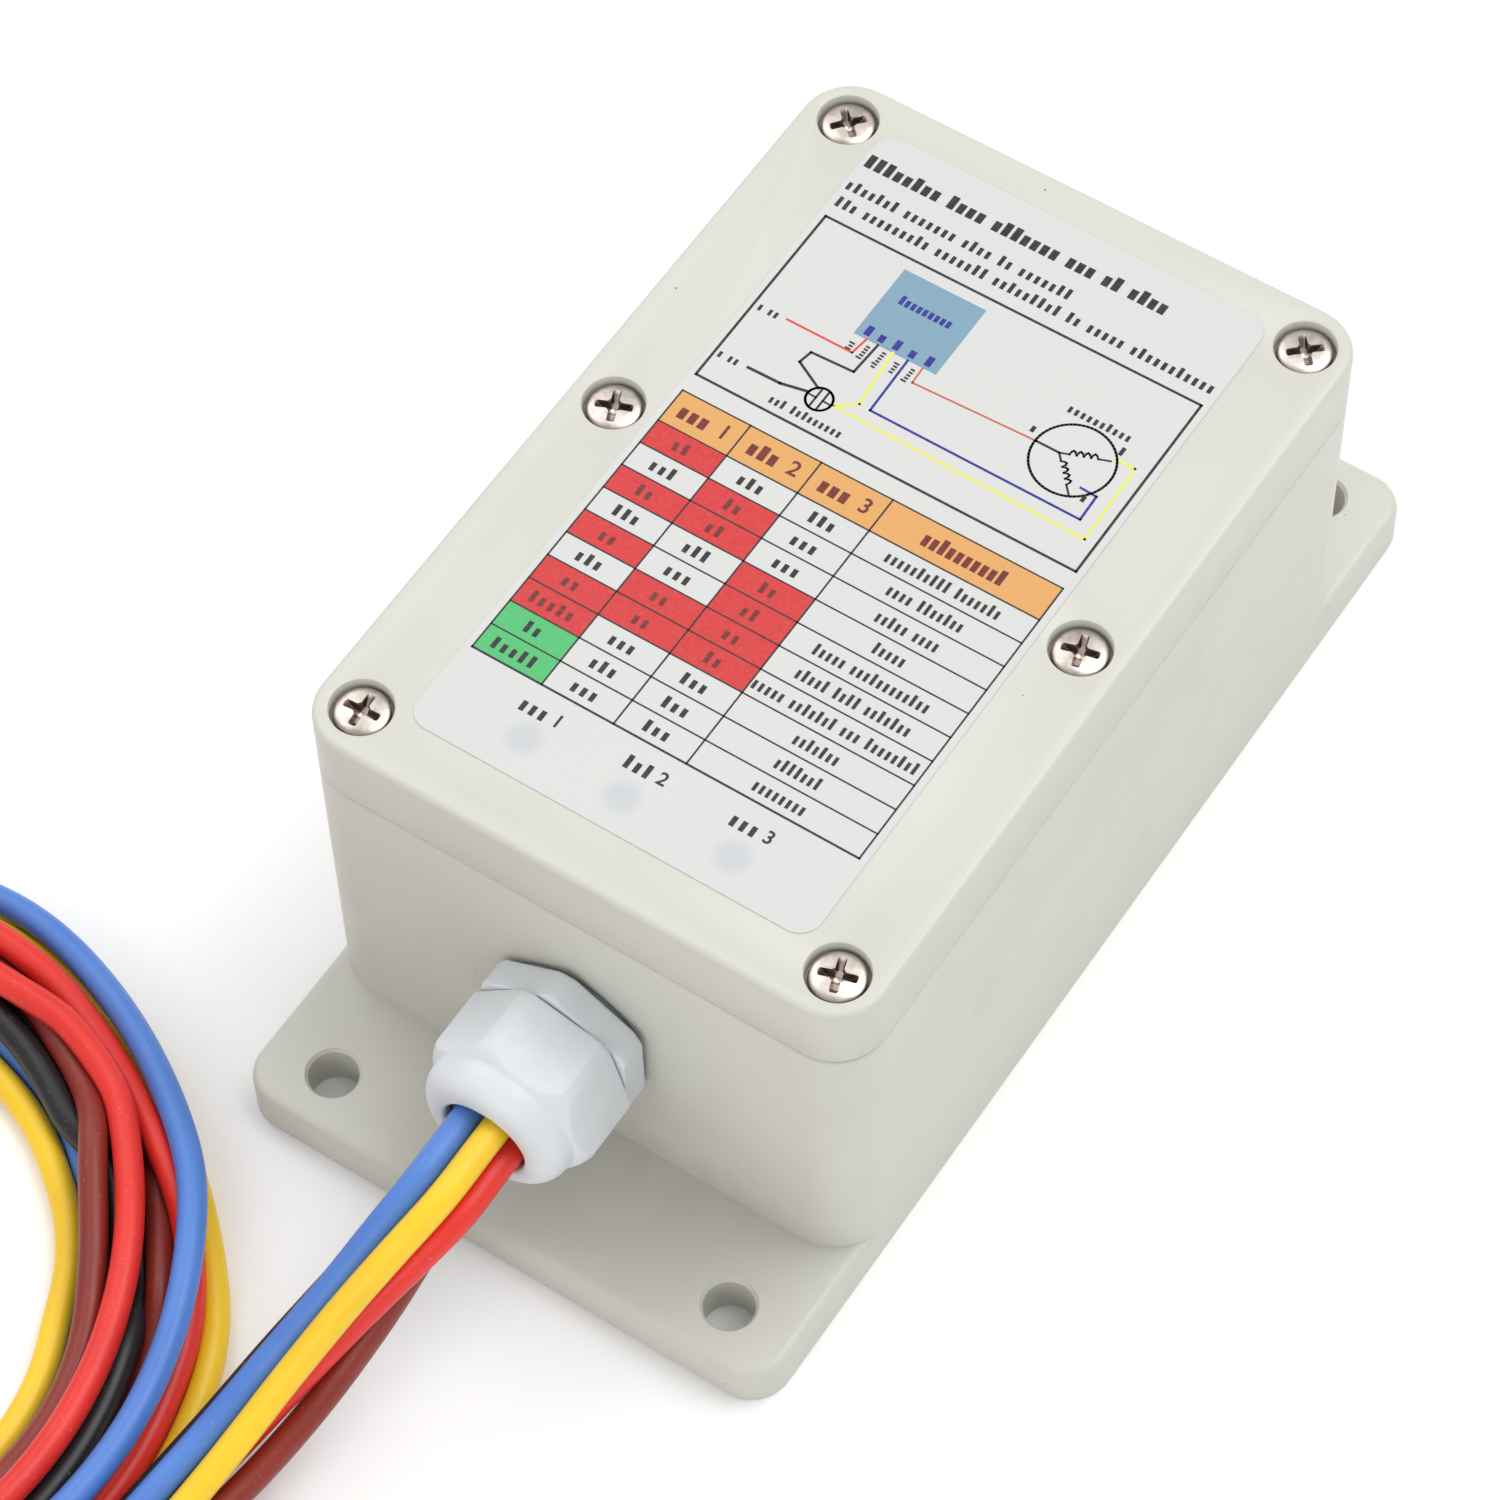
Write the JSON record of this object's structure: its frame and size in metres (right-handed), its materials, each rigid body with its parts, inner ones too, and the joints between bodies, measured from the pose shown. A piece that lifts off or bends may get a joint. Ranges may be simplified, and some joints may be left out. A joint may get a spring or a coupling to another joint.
{
  "type": "compressor soft starter",
  "caption": "Sealed plastic control box with screw-down ears, a screwed lid with a printed label, a cable gland and loose coloured leads.",
  "frame": {"origin": "middle of the underside of the box, on the surface it is screwed to", "axes": "+Z out of that surface through the lid, -Y through the cable gland, +X to the right seen from the gland"},
  "size_m": [0.1808, 0.2864, 0.0641],
  "materials": {
    "shell": "satin moulded ABS, warm light grey",
    "gasket": "matt",
    "label": "satin printed film",
    "nickel": "nickel-plated steel, slightly warm",
    "brass": "bright turned brass",
    "nylon": "satin moulded nylon, bluish white",
    "rubber": "matt",
    "board": "solder-masked laminate",
    "green": "satin",
    "black": "satin",
    "white": "satin",
    "blue_case": "satin",
    "ceramic": "dipped epoxy",
    "yellow_case": "satin",
    "aluminium": "extruded, matt",
    "glass": "clear tube",
    "lens": "milky epoxy lens",
    "lead_blue": "silicone insulation, satin",
    "lead_yellow": "silicone insulation, satin",
    "lead_red": "silicone insulation, satin",
    "lead_black": "silicone insulation, satin",
    "lead_brown": "silicone insulation, satin"
  },
  "bodies": {
    "box": {"base_box": "shell", "boss_insert_1": "brass", "boss_insert_2": "brass", "boss_insert_3": "brass", "boss_insert_4": "brass", "boss_insert_5": "brass", "boss_insert_6": "brass", "gland_washer": "rubber", "gland_body": "nylon", "gland_locknut": "nylon", "gland_cage": "nylon", "gland_seal": "rubber", "lead_blue": "lead_blue", "inner_lead_blue": "lead_blue", "lead_yellow": "lead_yellow", "inner_lead_yellow": "lead_yellow", "lead_red": "lead_red", "inner_lead_red": "lead_red", "lead_black": "lead_black", "inner_lead_black": "lead_black", "lead_brown": "lead_brown", "inner_lead_brown": "lead_brown", "lead_coil": "lead_red", "circuit_board": "board", "board_screw_1": "nickel", "board_screw_2": "nickel", "board_screw_3": "nickel", "board_screw_4": "nickel", "terminal_block": "green", "run_relay": "black", "start_relay": "blue_case", "start_capacitor": "black", "heatsink": "aluminium", "triac": "black", "power_module": "white", "current_sensor": "yellow_case", "fuse": "glass", "varistor": "ceramic", "film_capacitor": "yellow_case", "microcontroller": "black"},
    "lid": {"lid": "shell", "lid_gasket": "gasket", "label_sheet": "label", "led_board": "board", "led_1": "lens", "led_2": "lens", "led_3": "lens"},
    "gland_press_ring": {"gland_press_ring": "nylon"},
    "gland_nut": {"gland_nut": "nylon"},
    "lid_screw_1": {"lid_screw_1": "nickel"},
    "lid_screw_2": {"lid_screw_2": "nickel"},
    "lid_screw_3": {"lid_screw_3": "nickel"},
    "lid_screw_4": {"lid_screw_4": "nickel"},
    "lid_screw_5": {"lid_screw_5": "nickel"},
    "lid_screw_6": {"lid_screw_6": "nickel"}
  },
  "joints": [
    {"name": "lid_lift", "type": "slide", "parent": "box", "child": "lid", "axis": [0, 0, 1], "range_m": [0, 0.06]},
    {"name": "lid_screw_1_turn", "type": "hinge", "parent": "lid", "child": "lid_screw_1", "pos_m": [-0.0338, -0.0536, 0.0616], "axis": [0, 0, 1], "continuous": true},
    {"name": "lid_screw_2_turn", "type": "hinge", "parent": "lid", "child": "lid_screw_2", "pos_m": [0.0338, -0.0536, 0.0616], "axis": [0, 0, 1], "continuous": true},
    {"name": "lid_screw_3_turn", "type": "hinge", "parent": "lid", "child": "lid_screw_3", "pos_m": [-0.0338, 0, 0.0616], "axis": [0, 0, 1], "continuous": true},
    {"name": "lid_screw_4_turn", "type": "hinge", "parent": "lid", "child": "lid_screw_4", "pos_m": [0.0338, 0, 0.0616], "axis": [0, 0, 1], "continuous": true},
    {"name": "lid_screw_5_turn", "type": "hinge", "parent": "lid", "child": "lid_screw_5", "pos_m": [-0.0338, 0.0536, 0.0616], "axis": [0, 0, 1], "continuous": true},
    {"name": "lid_screw_6_turn", "type": "hinge", "parent": "lid", "child": "lid_screw_6", "pos_m": [0.0338, 0.0536, 0.0616], "axis": [0, 0, 1], "continuous": true},
    {"name": "gland_nut_travel", "type": "slide", "parent": "box", "child": "gland_press_ring", "axis": [0, -1, 0], "range_m": [0, 0.0057]},
    {"name": "gland_nut_turn", "type": "hinge", "parent": "gland_press_ring", "child": "gland_nut", "pos_m": [0, -0.07, 0.031], "axis": [0, -1, 0], "range_deg": [0, 1440]}
  ],
  "couplings": [
    {"joint": "gland_nut_travel", "follows": "gland_nut_turn", "m_per_rad": 0.00022441}
  ]
}
